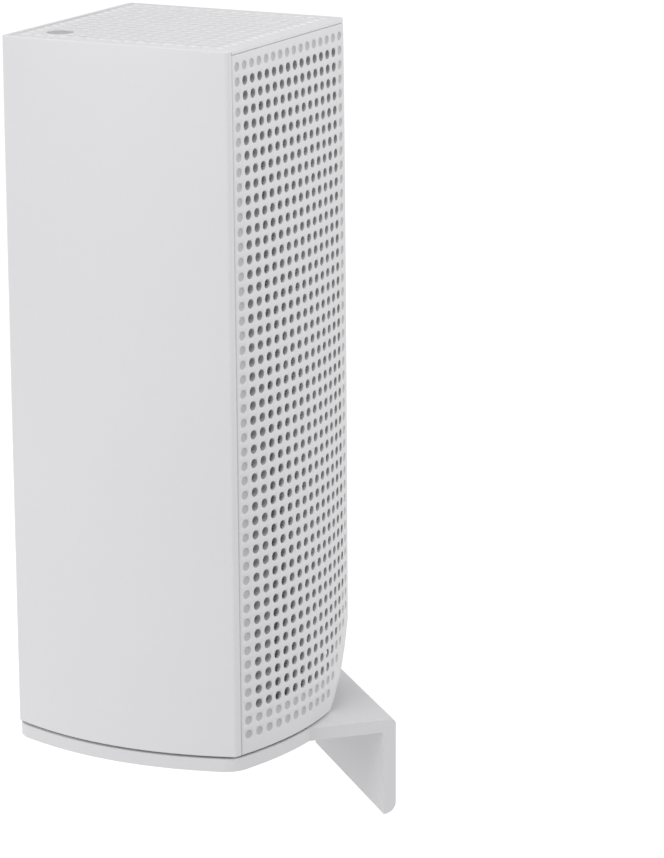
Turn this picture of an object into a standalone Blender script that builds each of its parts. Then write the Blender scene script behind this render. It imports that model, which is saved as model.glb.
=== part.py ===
"""Tower-shaped mesh wifi node, standing on the tray of its wall bracket.

Sizes are in millimetres, and MM turns them into Blender's metres. Pieces of the node are drawn in the
node's own frame: its upright axis at x = y = 0 and the lower edge of its shells at z = 0, with a corner
towards each of +X, +Y (the wall), -X and -Y (the room). The empty "node_frame" then puts that frame in
the world, whose origin is the middle of the wall plate's back, on the wall.
"""

import math

import bmesh
import bpy
from mathutils import Vector

MM = 0.001

# Outer shape: a square tower whose sides are flat at the top and bow outwards towards the bottom.
BODY_H = 185.4
HALF_SIDE = 33.0  # half of the straight distance between two upright edges
BOW_BOTTOM = 6.35  # how far the middle of a side stands proud of that straight line, at the bottom
BOW_POWER = 0.7
LEVELS = (0.0, 12.0, 30.0, 55.0, 85.0, 115.0, 142.0, 163.0, 177.0)
SIDE_STEPS = 7
SHARP_R = 1.2  # radius of the upright edges at +X, -X and -Y
WALL_EDGE_R = 3.0  # radius of the upright edge next to the wall

# Shells
SKIN = 1.8
GAP = 0.3
SEAM_TOP = 184.25  # top edge of the perforated shell, just under the rim of the top cover

# Dust screen inside the perforated shell
SCREEN_T = 0.5
SCREEN_EDGE = 4.0  # from the plain shell's plane to the screen's upright edges
SCREEN_Z = (5.0, 181.5)
SCREEN_CLEAR = 0.6  # round the port recess
SCREEN_STEPS = 12

# The cable outlet: the corner next to the wall is cut away below a slanted arc.
CUT_FOOT_Y = 34.4
CUT_TOP_Y = 46.6
CUT_TOP_Z = 21.5
CUT_SAG = 1.5
CUT_STEPS = 8
CUT_BEFORE = (1.2, 2.0)  # the cutter's reach past the foot of the arc
CUT_BEYOND = (1.5, 3.2)  # and past its top

# Top cover and the light in it
COVER_STEP_Z = 182.8  # lower face of the locating step
COVER_STEP_R = 1.0
LED_Y = -31.0
LENS_R = 3.2
LENS_STEM_R = 2.4
LENS_CHAMFER = 0.35
LENS_Z = (179.4, 182.6)
LED_BOARD_HALF = 5.0
LED_BOARD_Z = (175.8, 177.0)
LED_HALF = 1.6
LED_Z = (177.3, 178.6)

# Base and its port recess
BASE_Z = (0.8, 3.2)
RECESS_HALF_X = 17.4
RECESS_FRONT_Y = -8.4
RECESS_TOP_Z = 26.4
RECESS_WALL = 1.6
PORT_Z = (26.2, 43.3)
JACK_X = 8.6
JACK_Y = 17.0
JACK_HALF = (8.0, 6.7)
CONTACTS = 8
CONTACT_PITCH = 1.02
CONTACT_HALF_W = 0.25
CONTACT_Z = (29.0, 37.0, 37.9)  # tips, roots and back of the comb
DC_Y = 0.7
DC_HALF = (4.7, 4.7)
DC_BORE_R = 3.2
SWITCH_X = 11.4
SWITCH_Y = -0.9
SWITCH_HALF = (5.0, 6.7)
SWITCH_RIM = 1.0
SWITCH_WELL_Z = 31.6
PIVOT_Z = 28.6
ROCKER_HALF_X = 3.6
ROCKER_TILT = math.radians(8.0)
RESET_X = -11.0
RESET_Y = -1.0
RESET_SWITCH_HALF = 3.0
FOOT_R = 4.0
FOOT_Z = (-0.3, 0.5)
FEET = ((-12.0, -27.0), (12.0, -27.0), (-25.0, 12.0), (25.0, 12.0))
POSTS = ((-29.0, -2.0), (29.0, -2.0), (0.0, -31.5))
POST_R = 3.5
POST_HOLE_R = 1.7
POST_BORE_R = 1.5
HEAD_HOLE_R = 3.0
SHANK_R = 1.2

# Carrier plate, boards and heat sinks
CARRIER_HALF_X = 35.0
CARRIER_Y = (1.5, 3.5)
CARRIER_Z = (28.6, 178.0)
BOARD_T = 1.6
BOARD_HOLE_R = 1.5
STANDOFF_R = 3.0
STANDOFF_BORE_R = 1.4
SMALL_SHANK_R = 1.1
MAIN_BOARD_Z = (48.0, 168.0)
RADIO_BOARD_Z = (62.0, 158.0)
FRONT_SINK_Z = (58.0, 150.0)
REAR_SINK_Z = (64.0, 154.0)
SINK_HALF_X = 24.0
SINK_BASE_T = 3.0
FINS = 9
FIN_T = 1.4
FIN_H = 17.0
FIN_REACH = 40.5  # |x| + |y| that a fin's tip keeps within
ANTENNA_T = 0.8
ANTENNA_H = 42.0
ANTENNA_Z = (58.0, 114.0, 118.0)  # the two beside the carrier plate, and the ones at the corners
ANTENNA_HALF_X = 4.5
ANTENNA_X = 36.2
ANTENNA_Y = 37.2
LEAD_R = 0.65
MAIN_STANDOFFS = ((-26.0, 56.0), (26.0, 56.0), (-26.0, 160.0), (26.0, 160.0))
RADIO_STANDOFFS = ((-26.0, 68.0), (26.0, 68.0), (-26.0, 152.0), (26.0, 152.0))

# Wall bracket: tray, arm and wall plate in one bent piece
PLATE_T = 3.5
TRAY_TOP = -0.6
TRAY_CORNER_R = 8.0
ARM_HALF_W = 30.0
WALL_Y = 50.1
PLATE_H = 27.0
PLATE_FOOT_R = 3.2  # rounding of the wall plate's lower edge, on the wall side
SCREW_HOLE_X = 7.0
SCREW_HOLE_Z = -8.5
SCREW_HOLE_R = 2.0
COUNTERSINK_R = 3.4

REACH = 60.0  # past everything in plan, for cutters

CORNERS = tuple(math.radians(90.0 * k) for k in range(4))


# --- scene and mesh helpers -------------------------------------------------------------------------

def clear_scene():
    for obj in list(bpy.data.objects):
        bpy.data.objects.remove(obj, do_unlink=True)


def material(name, color, roughness, metallic=0.0):
    mat = bpy.data.materials.new(name)
    mat.use_nodes = True
    shader = mat.node_tree.nodes["Principled BSDF"]
    shader.inputs["Base Color"].default_value = (*color, 1.0)
    shader.inputs["Roughness"].default_value = roughness
    shader.inputs["Metallic"].default_value = metallic
    return mat


def add_mesh(name, bm, mat, parent=None, smooth_deg=None):
    """Turns a bmesh in millimetres into an object whose mesh is in metres."""
    bmesh.ops.scale(bm, vec=(MM, MM, MM), verts=bm.verts)
    bmesh.ops.recalc_face_normals(bm, faces=bm.faces)
    mesh = bpy.data.meshes.new(name)
    bm.to_mesh(mesh)
    bm.free()
    obj = bpy.data.objects.new(name, mesh)
    bpy.context.scene.collection.objects.link(obj)
    if mat is not None:
        mesh.materials.append(mat)
    if smooth_deg is not None:
        mesh.shade_smooth()
        mesh.set_sharp_from_angle(angle=math.radians(smooth_deg))
    obj.parent = parent
    return obj


def fill_loft(bm, rings):
    """Skins a stack of rings with equal numbers of points, and closes both ends."""
    rows = [[bm.verts.new(point) for point in ring] for ring in rings]
    count = len(rows[0])
    for low, high in zip(rows, rows[1:]):
        for i in range(count):
            j = (i + 1) % count
            bm.faces.new((low[i], low[j], high[j], high[i]))
    bm.faces.new(rows[0][::-1])
    bm.faces.new(rows[-1])


def loft(name, rings, mat, parent=None, smooth_deg=None):
    bm = bmesh.new()
    fill_loft(bm, rings)
    return add_mesh(name, bm, mat, parent, smooth_deg)


def prism(name, outline, axis, span, mat, parent=None):
    """Extrudes a flat outline along x, y or z. Its two numbers are the other two axes, in order."""
    place = {
        "x": lambda a, b, s: (s, a, b),
        "y": lambda a, b, s: (a, s, b),
        "z": lambda a, b, s: (a, b, s),
    }[axis]
    rings = [[place(a, b, s) for a, b in outline] for s in span]
    return loft(name, rings, mat, parent)


def fill_box(bm, low, high):
    corners = [(low[0], low[1]), (high[0], low[1]), (high[0], high[1]), (low[0], high[1])]
    fill_loft(bm, [[(x, y, z) for x, y in corners] for z in (low[2], high[2])])


def boxes(name, spans, mat, parent=None):
    """One object holding a separate box for each (low corner, high corner)."""
    bm = bmesh.new()
    for low, high in spans:
        fill_box(bm, low, high)
    return add_mesh(name, bm, mat, parent)


def circle(radius, steps):
    turn = 2.0 * math.pi / steps
    return [(radius * math.cos(turn * i), radius * math.sin(turn * i)) for i in range(steps)]


def fill_turned(bm, profile, centre, axis, steps):
    """Turns (radius, height) pairs about an upright or a level axis through the centre point."""
    rings = []
    for radius, height in profile:
        ring = []
        for a, b in circle(radius, steps):
            offset = (a, b, height) if axis == "z" else (a, height, b)
            ring.append(tuple(c + o for c, o in zip(centre, offset)))
        rings.append(ring)
    fill_loft(bm, rings)


def turned(name, profile, centres, mat, parent=None, axis="z", steps=24, smooth_deg=35.0):
    """One object holding the turned shape at each of the centre points."""
    bm = bmesh.new()
    for centre in centres:
        fill_turned(bm, profile, centre, axis, steps)
    return add_mesh(name, bm, mat, parent, smooth_deg)


def boolean(target, other, operation="DIFFERENCE"):
    """Adds an exact Boolean and keeps its helper out of the model."""
    other.hide_render = True
    other.display_type = "WIRE"
    modifier = target.modifiers.new(other.name, "BOOLEAN")
    modifier.operation = operation
    modifier.object = other


def tube(name, points, radius, mat, parent=None):
    """A round lead through the points, read from a smooth curve."""
    curve = bpy.data.curves.new(name, "CURVE")
    curve.dimensions = "3D"
    curve.bevel_depth = radius * MM
    curve.bevel_resolution = 2
    curve.use_fill_caps = True
    smooth = smooth_route(points, 5)
    spline = curve.splines.new("POLY")
    spline.points.add(len(smooth) - 1)
    for point, co in zip(spline.points, smooth):
        point.co = (*(co * MM), 1.0)
    curve.materials.append(mat)
    obj = bpy.data.objects.new(name, curve)
    bpy.context.scene.collection.objects.link(obj)
    obj.parent = parent
    return obj


def smooth_route(points, steps):
    """Points along a Catmull-Rom curve through the given ones."""
    knots = [Vector(p) for p in points]
    knots = [2 * knots[0] - knots[1]] + knots + [2 * knots[-1] - knots[-2]]
    route = []
    for a, b, c, d in zip(knots, knots[1:], knots[2:], knots[3:]):
        for i in range(steps):
            t = i / steps
            route.append(0.5 * (2 * b + (c - a) * t + (2 * a - 5 * b + 4 * c - d) * t**2
                                + (3 * b - a - 3 * c + d) * t**3))
    return route + [knots[-2]]


# --- the tower's cross-section ----------------------------------------------------------------------

def bow(z):
    return BOW_BOTTOM * max(0.0, 1.0 - z / BODY_H) ** BOW_POWER


def side_point(side, along, z, inset=0.0):
    """A point on side 0 to 3, between corners side and side + 1. along is its distance from the middle."""
    normal = CORNERS[side] + math.radians(45.0)
    half = HALF_SIDE - inset
    out = half + bow(z) * (1.0 - (along / half) ** 2)
    x = out * math.cos(normal) - along * math.sin(normal)
    y = out * math.sin(normal) + along * math.cos(normal)
    return Vector((x, y, z))


def side_run(side, start, end, z, inset=0.0, steps=SIDE_STEPS):
    return [side_point(side, start + (end - start) * i / steps, z, inset) for i in range(steps + 1)]


def corner_arc(corner, radius, z, inset=0.0, steps=4):
    """Rounds one upright edge, and returns its points with the tangent length that the arc takes."""
    half = HALF_SIDE - inset
    slope = 2.0 * bow(z) / half
    half_angle = math.radians(45.0) + math.atan(slope)
    tangent = radius / math.tan(half_angle)
    point = Vector((math.cos(CORNERS[corner]), math.sin(CORNERS[corner]))) * half * math.sqrt(2.0)
    centre = point * (1.0 - radius / math.sin(half_angle) / point.length)
    sweep = math.pi / 2.0 - half_angle
    arc = []
    for i in range(steps + 1):
        angle = CORNERS[corner] + sweep * (2.0 * i / steps - 1.0)
        arc.append(Vector((centre.x + radius * math.cos(angle), centre.y + radius * math.sin(angle), z)))
    return arc, tangent


def outline(z, inset=0.0, radii=(SHARP_R, WALL_EDGE_R, SHARP_R, SHARP_R)):
    """The whole cross-section at one height, with its four rounded corners."""
    ring = []
    half = HALF_SIDE - inset
    arcs = [corner_arc(k, radii[k], z, inset) for k in range(4)]
    for side in range(4):
        arc, start_cut = arcs[side]
        end_cut = arcs[(side + 1) % 4][1]
        ring += arc
        ring += side_run(side, start_cut - half, half - end_cut, z, inset)[1:-1]
    return ring


# --- covers -----------------------------------------------------------------------------------------

def make_front_shell(mat, parent):
    """Two plain sides in one piece, from the -X edge round -Y to the +X edge."""
    def ring(z):
        half = HALF_SIDE
        inner = HALF_SIDE - SKIN
        arcs = {k: corner_arc(k, SHARP_R, z) for k in (2, 3, 0)}
        cut = arcs[2][1]
        points = [side_point(1, inner, z)] + arcs[2][0]
        points += side_run(2, cut - half, half - cut, z)[1:-1]
        points += arcs[3][0]
        points += side_run(3, cut - half, half - cut, z)[1:-1]
        points += arcs[0][0] + [side_point(0, -inner, z)]
        points += side_run(3, inner, -inner, z, SKIN)
        points += side_run(2, inner, -inner, z, SKIN)[1:]
        return points
    loft("front_shell", [ring(z) for z in LEVELS + (BODY_H,)], mat, parent, 30.0)


def make_rear_shell(mat, parent):
    """The two perforated sides in one piece, with the rounded upright edge next to the wall between them."""
    def ring(z):
        half = HALF_SIDE
        start = SKIN + GAP - half
        inner = HALF_SIDE - SKIN
        arc, cut = corner_arc(1, WALL_EDGE_R, z)
        inner_arc, inner_cut = corner_arc(1, WALL_EDGE_R - SKIN, z, SKIN)
        points = side_run(0, start, half - cut, z)[:-1]
        points += arc
        points += side_run(1, cut - half, -start, z)[1:]
        points += side_run(1, -start, inner_cut - inner, z, SKIN)[:-1]
        points += inner_arc[::-1]
        points += side_run(0, inner - inner_cut, start, z, SKIN)[1:]
        return points
    shell = loft("rear_shell", [ring(z) for z in LEVELS + (SEAM_TOP,)], mat, parent, 30.0)
    boolean(shell, cut_corner("cable_outlet_cutter", parent))


def make_dust_screen(mat, parent):
    """A thin dark screen just inside the perforated shell, notched round the port recess."""
    outer = SKIN + GAP
    inner = outer + SCREEN_T
    def ring(z):
        edge = HALF_SIDE - SCREEN_EDGE
        points = side_run(0, -edge, HALF_SIDE - outer, z, outer, SCREEN_STEPS)
        points += side_run(1, outer - HALF_SIDE, edge, z, outer, SCREEN_STEPS)[1:]
        points += side_run(1, edge, inner - HALF_SIDE, z, inner, SCREEN_STEPS)
        points += side_run(0, HALF_SIDE - inner, -edge, z, inner, SCREEN_STEPS)[1:]
        return points
    low, high = SCREEN_Z
    levels = [low] + [z for z in LEVELS if low < z < high] + [high]
    screen = loft("dust_screen", [ring(z) for z in levels], mat, parent, 30.0)
    notch_x = RECESS_HALF_X + RECESS_WALL + SCREEN_CLEAR
    notch_z = RECESS_TOP_Z + RECESS_WALL + SCREEN_CLEAR
    notch = [((-notch_x, 0.0, 0.0), (notch_x, REACH, notch_z))]
    boolean(screen, boxes("screen_notch_cutter", notch, None, parent))


def cut_corner(name, parent):
    """The slanted arc of the cable outlet, as a cutter that reaches past the corner."""
    foot = Vector((CUT_FOOT_Y, 0.0))
    top = Vector((CUT_TOP_Y, CUT_TOP_Z))
    chord = top - foot
    sideways = Vector((chord.y, -chord.x)).normalized()
    arc = []
    for i in range(CUT_STEPS + 1):
        t = i / CUT_STEPS
        arc.append(foot + chord * t + sideways * CUT_SAG * 4.0 * t * (1.0 - t))
    before = foot - Vector(CUT_BEFORE)
    beyond = top + Vector(CUT_BEYOND)
    profile = [before] + arc + [beyond, Vector((REACH, beyond.y)), Vector((REACH, before.y))]
    return prism(name, [tuple(p) for p in profile], "x", (-REACH, REACH), None, parent)


def make_top_cover(mat, parent):
    """A shallow lid with a locating step. It drops inside the plain shell and lies on the perforated one."""
    inset = SKIN + GAP
    def ring(z, rear_inset):
        half = HALF_SIDE
        deep = HALF_SIDE - inset
        start = inset - half if rear_inset == 0.0 else -deep
        end = half if rear_inset == 0.0 else deep
        arc, cut = corner_arc(1, WALL_EDGE_R if rear_inset == 0.0 else COVER_STEP_R, z, rear_inset)
        points = side_run(0, start, end - cut, z, rear_inset)[:-1]
        points += arc
        points += side_run(1, cut - end, -start, z, rear_inset)[1:]
        points += side_run(2, -deep, deep, z, inset)[1:]
        points += side_run(3, -deep, deep, z, inset)[1:-1]
        return points
    step_z = SEAM_TOP + GAP
    rings = [ring(COVER_STEP_Z, inset), ring(step_z, inset)]
    rings += [ring(step_z + 0.01, 0.0), ring(BODY_H, 0.0)]
    cover = loft("top_cover", rings, mat, parent, 30.0)
    hole = [(LENS_R + GAP, COVER_STEP_Z - 1.0), (LENS_R + GAP, BODY_H + 1.0)]
    boolean(cover, turned("lens_hole_cutter", hole, [(0.0, LED_Y, 0.0)], None, parent))


def make_led(lens_mat, board_mat, led_mat, parent):
    low, shoulder = LENS_Z
    lens = [(LENS_STEM_R, low), (LENS_STEM_R, shoulder), (LENS_R, shoulder)]
    lens += [(LENS_R, BODY_H - LENS_CHAMFER), (LENS_R - LENS_CHAMFER, BODY_H)]
    turned("led_lens", lens, [(0.0, LED_Y, 0.0)], lens_mat, parent, steps=28)
    for name, half, span, mat in (("led_board", LED_BOARD_HALF, LED_BOARD_Z, board_mat),
                                  ("status_led", LED_HALF, LED_Z, led_mat)):
        boxes(name, [((-half, LED_Y - half, span[0]), (half, LED_Y + half, span[1]))], mat, parent)


# --- base with the port recess ----------------------------------------------------------------------

def make_base_cover(mat, parent):
    """The floor of the node, and in one piece with it the walls and roof of the port recess."""
    inset = SKIN + GAP
    radii = (1.0, 1.2, 1.0, 1.0)
    cover = loft("base_cover", [outline(z, inset, radii) for z in BASE_Z], mat, parent, 30.0)
    roof_z = RECESS_TOP_Z + RECESS_WALL
    inside = loft("recess_limit", [outline(z, inset, radii) for z in (0.0, 14.0, 32.0)], None, parent)
    wall_x = RECESS_HALF_X + RECESS_WALL
    walls = [((-wall_x, RECESS_FRONT_Y - RECESS_WALL, 1.9), (wall_x, REACH, roof_z))]
    block = boxes("recess_block", walls, None, parent)
    boolean(block, inside, "INTERSECT")
    boolean(cover, block, "UNION")
    room = [((-RECESS_HALF_X, RECESS_FRONT_Y, -3.0), (RECESS_HALF_X, REACH, RECESS_TOP_Z))]
    boolean(cover, boxes("recess_cutter", room, None, parent))
    boolean(cover, boxes("port_cutter", [port_hole(port) for port in ports()], None, parent))
    post_holes = [(POST_HOLE_R, -2.0), (POST_HOLE_R, 10.0)]
    head_holes = [(HEAD_HOLE_R, -1.0), (HEAD_HOLE_R, 2.0)]
    centres = [(x, y, 0.0) for x, y in POSTS]
    boolean(cover, turned("base_screw_hole_cutter", post_holes, centres, None, parent, steps=16))
    boolean(cover, turned("base_screw_head_cutter", head_holes, centres, None, parent, steps=16))
    reset_hole = [(1.9, 20.0), (1.9, 34.0)]
    reset_spot = [(RESET_X, RESET_Y, 0.0)]
    boolean(cover, turned("reset_hole_cutter", reset_hole, reset_spot, None, parent, steps=20))
    boolean(cover, cut_corner("base_outlet_cutter", parent))


def ports():
    """Plan rectangles (x0, y0, x1, y1) of the two jacks, the power inlet and the power switch."""
    spots = [(-JACK_X, JACK_Y, JACK_HALF), (JACK_X, JACK_Y, JACK_HALF)]
    spots += [(0.0, DC_Y, DC_HALF), (SWITCH_X, SWITCH_Y, SWITCH_HALF)]
    return [(x - half[0], y - half[1], x + half[0], y + half[1]) for x, y, half in spots]


def port_hole(port):
    x0, y0, x1, y1 = port
    return (x0 - GAP, y0 - GAP, 20.0), (x1 + GAP, y1 + GAP, 34.0)


def port_block(name, port, mat, parent):
    x0, y0, x1, y1 = port
    return boxes(name, [((x0, y0, PORT_Z[0]), (x1, y1, PORT_Z[1]))], mat, parent)


def make_ethernet_jacks(shell_mat, contact_mat, parent):
    """Two sockets that face down, each with its latch slot towards the wall and eight contacts opposite."""
    for number, port in enumerate(ports()[:2], 1):
        middle = (port[0] + port[2]) / 2
        jack = port_block(f"ethernet_jack_{number}", port, shell_mat, parent)
        mouth = [((middle - 5.9, JACK_Y - 4.0, 20.0), (middle + 5.9, JACK_Y + 3.2, 38.2))]
        latch = [((middle - 3.1, JACK_Y, 20.0), (middle + 3.1, JACK_Y + 5.4, 36.0))]
        boolean(jack, boxes(f"jack_mouth_cutter_{number}", mouth, None, parent))
        boolean(jack, boxes(f"jack_latch_cutter_{number}", latch, None, parent))
        tip, root, back = CONTACT_Z
        half = CONTACT_PITCH * (CONTACTS + 0.6) / 2
        comb = [(middle + half, root), (middle + half, back), (middle - half, back), (middle - half, root)]
        for i in range(CONTACTS):
            x = middle + (i - (CONTACTS - 1) / 2) * CONTACT_PITCH
            comb += [(x - CONTACT_HALF_W, root), (x - CONTACT_HALF_W, tip)]
            comb += [(x + CONTACT_HALF_W, tip), (x + CONTACT_HALF_W, root)]
        prism(f"jack_contacts_{number}", comb, "y", (JACK_Y - 3.7, JACK_Y - 3.2), contact_mat, parent)


def make_power_inlet(mat, pin_mat, parent):
    inlet = port_block("power_inlet", ports()[2], mat, parent)
    bore = [(DC_BORE_R, 20.0), (DC_BORE_R, 36.2)]
    boolean(inlet, turned("inlet_bore_cutter", bore, [(0.0, DC_Y, 0.0)], None, parent, steps=24))
    pin = [(0.7, 31.2), (1.0, 31.6), (1.0, 35.9)]
    turned("inlet_pin", pin, [(0.0, DC_Y, 0.0)], pin_mat, parent, steps=12)


def make_power_switch(mat, rocker_mat, parent):
    """A rocker that pivots on an axis along x. It rests with its -Y end pressed in."""
    body = port_block("power_switch_body", ports()[3], mat, parent)
    well_x = SWITCH_HALF[0] - SWITCH_RIM
    well_y = SWITCH_HALF[1] - SWITCH_RIM
    well = [((SWITCH_X - well_x, SWITCH_Y - well_y, 20.0),
             (SWITCH_X + well_x, SWITCH_Y + well_y, SWITCH_WELL_Z))]
    boolean(body, boxes("switch_well_cutter", well, None, parent))
    pivot = bpy.data.objects.new("rocker_pivot", None)
    bpy.context.scene.collection.objects.link(pivot)
    pivot.parent = parent
    pivot.location = Vector((SWITCH_X, SWITCH_Y, PIVOT_Z)) * MM
    pivot.rotation_euler.x = -ROCKER_TILT
    wing = 5.2
    profile = [(-wing, -1.9), (0.0, -1.2), (wing, -1.9), (wing, -0.2), (1.4, 1.2), (-1.4, 1.2), (-wing, -0.2)]
    prism("power_rocker", profile, "x", (-ROCKER_HALF_X, ROCKER_HALF_X), rocker_mat, pivot)


def make_reset(button_mat, switch_mat, parent):
    centre = [(RESET_X, RESET_Y, 0.0)]
    plunger = [(1.3, 25.6), (1.5, 25.8), (1.5, 28.3), (2.6, 28.3), (2.6, 29.3), (1.5, 29.3), (1.5, 38.9)]
    turned("reset_button", plunger, centre, button_mat, parent, steps=20)
    half = RESET_SWITCH_HALF
    switch = [((RESET_X - half, RESET_Y - half, 40.0), (RESET_X + half, RESET_Y + half, PORT_Z[1]))]
    boxes("reset_switch", switch, switch_mat, parent)


def make_feet(mat, parent):
    low, high = FOOT_Z
    profile = [(FOOT_R + low - 0.1, low), (FOOT_R, 0.0), (FOOT_R, high)]
    for number, (x, y) in enumerate(FEET, 1):
        turned(f"foot_{number}", profile, [(x, y, 0.0)], mat, parent, steps=20)


# --- what the covers hold ---------------------------------------------------------------------------

def make_chassis(mat, parent):
    """Upright carrier plate with windows, standoffs for both boards, a foot flange and three screw posts."""
    near, far = CARRIER_Y
    low, high = CARRIER_Z
    plate = [((-CARRIER_HALF_X, near, low), (CARRIER_HALF_X, far, high))]
    chassis = boxes("chassis", plate, mat, parent)
    flange = boxes("chassis_flange", [((-30.0, -13.0, 28.3), (30.0, 6.0, 31.0))], None, parent)
    arm = boxes("chassis_arm", [((-5.0, -36.0, 28.31), (5.0, -12.0, 31.01))], None, parent)
    post_spots = [(x, y, 0.0) for x, y in POSTS]
    main_spots = [(x, 0.0, z) for x, z in MAIN_STANDOFFS]
    radio_spots = [(x, 0.0, z) for x, z in RADIO_STANDOFFS]
    for piece in (flange, arm):
        boolean(chassis, piece, "UNION")
    for name, radius, start, end, spots, axis in (
        ("chassis_posts", POST_R, 3.5, 29.5, post_spots, "z"),
        ("front_standoffs", STANDOFF_R, 2.5, -1.1, main_spots, "y"),
        ("rear_standoffs", STANDOFF_R, 2.6, 7.5, radio_spots, "y"),
    ):
        piece = turned(name, [(radius, start), (radius, end)], spots, None, parent, axis, 16)
        boolean(chassis, piece, "UNION")
    windows = boxes("chassis_windows", [
        ((-20.0, -8.3, 20.0), (20.0, 20.0, 47.0)),
        ((-21.0, 0.0, 62.0), (21.0, 5.0, 104.0)),
        ((-21.0, 0.0, 112.0), (21.0, 5.0, 148.0)),
    ], None, parent)
    boolean(chassis, windows)
    for name, radius, start, end, spots, axis in (
        ("post_bores", POST_BORE_R, 0.0, 16.0, post_spots, "z"),
        ("front_bores", STANDOFF_BORE_R, -3.0, 1.0, main_spots, "y"),
        ("rear_bores", STANDOFF_BORE_R, 4.2, 9.0, radio_spots, "y"),
    ):
        boolean(chassis, turned(name, [(radius, start), (radius, end)], spots, None, parent, axis, 12))


def make_board(name, half_x, y, z_span, holes, mat, parent):
    """An upright board with a hole at each standoff."""
    board = boxes(name, [((-half_x, y, z_span[0]), (half_x, y + BOARD_T, z_span[1]))], mat, parent)
    profile = [(BOARD_HOLE_R, y - 1.0), (BOARD_HOLE_R, y + BOARD_T + 1.0)]
    centres = [(x, 0.0, z) for x, z in holes]
    boolean(board, turned(f"{name}_hole_cutter", profile, centres, None, parent, "y", 12))


def make_heatsink(name, side, base_y, z_span, mat, parent):
    """Base plate with fins along z, which get shorter towards the edges, where there is less room."""
    pitch = (2 * SINK_HALF_X - FIN_T) / (FINS - 1)
    outer_y = base_y + SINK_BASE_T
    profile = [(SINK_HALF_X, base_y), (-SINK_HALF_X, base_y)]
    for i in range(FINS):
        x0 = -SINK_HALF_X + i * pitch
        x1 = x0 + FIN_T
        tip = min(outer_y + FIN_H, FIN_REACH - max(abs(x0), abs(x1)))
        profile += [(x0, outer_y), (x0, tip), (x1, tip), (x1, outer_y)]
    del profile[2]
    profile.pop()
    profile = [(x, side * y) for x, y in profile]
    return prism(name, profile, "z", z_span, mat, parent)


def make_electronics(mats, parent):
    make_board("main_board", 30.0, -3.0, MAIN_BOARD_Z, MAIN_STANDOFFS, mats["board"], parent)
    make_board("radio_board", 29.0, 7.8, RADIO_BOARD_Z, RADIO_STANDOFFS, mats["board"], parent)
    boxes("io_board", [((-17.6, -8.0, 43.6), (17.6, 24.6, 45.2))], mats["board"], parent)
    cans = (("shield_can_1", -11.0, 108.0, 22.0, 34.0), ("shield_can_2", -14.0, 66.0, 28.0, 32.0))
    for name, x, z, wide, tall in cans:
        boxes(name, [((x, -5.3, z), (x + wide, -3.3, z + tall))], mats["shield"], parent)
    boxes("shield_can_3", [((-15.0, 9.7, 82.0), (15.0, 11.7, 136.0))], mats["shield"], parent)
    boxes("thermal_pad_1", [((-9.0, -6.7, 110.0), (9.0, -5.6, 140.0))], mats["pad"], parent)
    boxes("thermal_pad_2", [((-13.0, 12.0, 86.0), (13.0, 12.9, 132.0))], mats["pad"], parent)
    make_heatsink("front_heatsink", -1.0, 7.0, FRONT_SINK_Z, mats["aluminium"], parent)
    make_heatsink("rear_heatsink", 1.0, 13.2, REAR_SINK_Z, mats["aluminium"], parent)


def make_antennas(board_mat, lead_mat, parent):
    """Four antenna boards beside the carrier plate, one at the room corner and one at the wall corner."""
    number = 0
    low_z, high_z, corner_z = ANTENNA_Z
    for side in (-1.0, 1.0):
        for z in (low_z, high_z):
            number += 1
            x0, x1 = sorted((side * ANTENNA_X, side * (ANTENNA_X + ANTENNA_T)))
            boxes(f"antenna_{number}", [((x0, -5.0, z), (x1, 5.4, z + ANTENNA_H))], board_mat, parent)
            route = [(35.3, -2.8, 20.0), (33.4, -4.6, 23.0), (30.0, -5.2, 27.0), (27.6, -3.98, 32.0)]
            points = [(side * x, y, z + h) for x, y, h in route]
            tube(f"antenna_lead_{number}", points, LEAD_R, lead_mat, parent)
    high = corner_z + ANTENNA_H
    room_y = -ANTENNA_Y - ANTENNA_T
    room = ((-ANTENNA_HALF_X, room_y, corner_z), (ANTENNA_HALF_X, -ANTENNA_Y, high))
    wall = ((-ANTENNA_HALF_X, ANTENNA_Y, corner_z), (ANTENNA_HALF_X, ANTENNA_Y + ANTENNA_T, high))
    boxes("antenna_5", [room], board_mat, parent)
    boxes("antenna_6", [wall], board_mat, parent)
    front = [(0.0, -36.2, 146.0), (0.0, -33.5, 158.0), (3.0, -21.0, 166.0), (5.0, -9.0, 165.0)]
    front.append((5.0, -3.98, 158.0))
    rear = [(0.0, 36.2, 146.0), (0.0, 33.5, 158.0), (-3.0, 22.0, 165.0), (-4.0, 13.0, 162.0)]
    rear.append((-4.0, 10.4, 155.8))
    tube("antenna_lead_5", front, LEAD_R, lead_mat, parent)
    tube("antenna_lead_6", rear, LEAD_R, lead_mat, parent)


def make_screws(mat, parent):
    base = [(2.6, 0.9), (2.6, 1.7), (SHANK_R, 1.7), (SHANK_R, 14.0)]
    main = [(2.4, -4.4), (2.4, -3.3), (SMALL_SHANK_R, -3.3), (SMALL_SHANK_R, 0.6)]
    radio = [(2.4, 10.8), (2.4, 9.7), (SMALL_SHANK_R, 9.7), (SMALL_SHANK_R, 4.6)]
    for number, (x, y) in enumerate(POSTS, 1):
        turned(f"base_screw_{number}", base, [(x, y, 0.0)], mat, parent, steps=12)
    for number, (x, z) in enumerate(MAIN_STANDOFFS, 1):
        turned(f"main_board_screw_{number}", main, [(x, 0.0, z)], mat, parent, "y", 12)
    for number, (x, z) in enumerate(RADIO_STANDOFFS, 1):
        turned(f"radio_board_screw_{number}", radio, [(x, 0.0, z)], mat, parent, "y", 12)


# --- wall bracket -----------------------------------------------------------------------------------

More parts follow.
